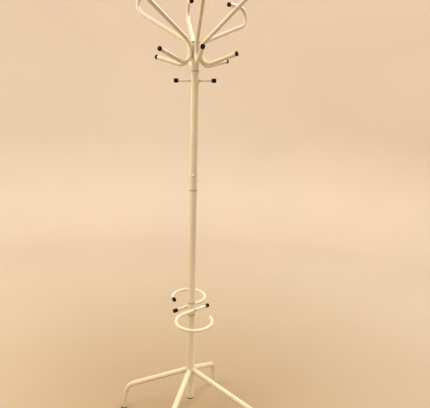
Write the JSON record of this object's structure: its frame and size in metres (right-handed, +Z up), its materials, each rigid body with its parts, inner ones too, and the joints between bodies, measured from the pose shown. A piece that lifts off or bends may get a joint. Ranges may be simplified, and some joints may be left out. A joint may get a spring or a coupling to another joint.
{
  "type": "coat stand",
  "caption": "Free-standing tubular steel coat stand with curled hat and coat hooks, an umbrella holder and a splayed four-legged base.",
  "frame": {"origin": "on the floor, on the axis of the post, midway between the feet", "axes": "+Z up along the post; one leg points along each of +X, -X, +Y and -Y"},
  "size_m": [0.685, 0.685, 1.8377],
  "materials": {
    "cream_paint": "worn cream gloss enamel",
    "bare_steel": "plain drawn tube",
    "screw_steel": "bright zinc plate",
    "black_plastic": "satin moulded black",
    "black_rubber": "dull, slightly dusty"
  },
  "bodies": {
    "stand": {"base_post_tube": "cream_paint", "middle_post_tube": "cream_paint", "upper_post_tube": "cream_paint", "holder_joint_spigot": "bare_steel", "middle_joint_sleeve": "bare_steel", "middle_joint_screw": "screw_steel", "post_bottom_plug": "black_plastic", "leg_right": "cream_paint", "foot_right": "black_rubber", "leg_back": "cream_paint", "foot_back": "black_rubber", "leg_left": "cream_paint", "foot_left": "black_rubber", "leg_front": "cream_paint", "foot_front": "black_rubber", "scarf_peg_right": "cream_paint", "scarf_peg_cap_right": "black_plastic", "scarf_peg_left": "cream_paint", "scarf_peg_cap_left": "black_plastic"},
    "crown": {"crown_tube": "cream_paint", "crown_spigot": "bare_steel", "crown_top_plug": "black_plastic", "arm_right": "cream_paint", "hat_hook_cap_right": "black_plastic", "coat_hook_cap_right": "black_plastic", "arm_back_right": "cream_paint", "hat_hook_cap_back_right": "black_plastic", "coat_hook_cap_back_right": "black_plastic", "arm_back_left": "cream_paint", "hat_hook_cap_back_left": "black_plastic", "coat_hook_cap_back_left": "black_plastic", "arm_left": "cream_paint", "hat_hook_cap_left": "black_plastic", "coat_hook_cap_left": "black_plastic", "arm_front_left": "cream_paint", "hat_hook_cap_front_left": "black_plastic", "coat_hook_cap_front_left": "black_plastic", "arm_front_right": "cream_paint", "hat_hook_cap_front_right": "black_plastic", "coat_hook_cap_front_right": "black_plastic"},
    "umbrella_holder": {"umbrella_ring": "cream_paint", "umbrella_rod_back": "cream_paint", "umbrella_rod_front": "cream_paint", "umbrella_tail_cap_back": "black_plastic", "umbrella_tail_cap_front": "black_plastic", "umbrella_loop_cap_back": "black_plastic"}
  },
  "joints": [
    {"name": "crown_turn", "type": "hinge", "parent": "stand", "child": "crown", "pos_m": [0, 0, 1.508], "axis": [0, 0, 1], "continuous": true},
    {"name": "umbrella_holder_turn", "type": "hinge", "parent": "stand", "child": "umbrella_holder", "pos_m": [0, 0, 0.545], "axis": [0, 0, 1], "continuous": true}
  ]
}
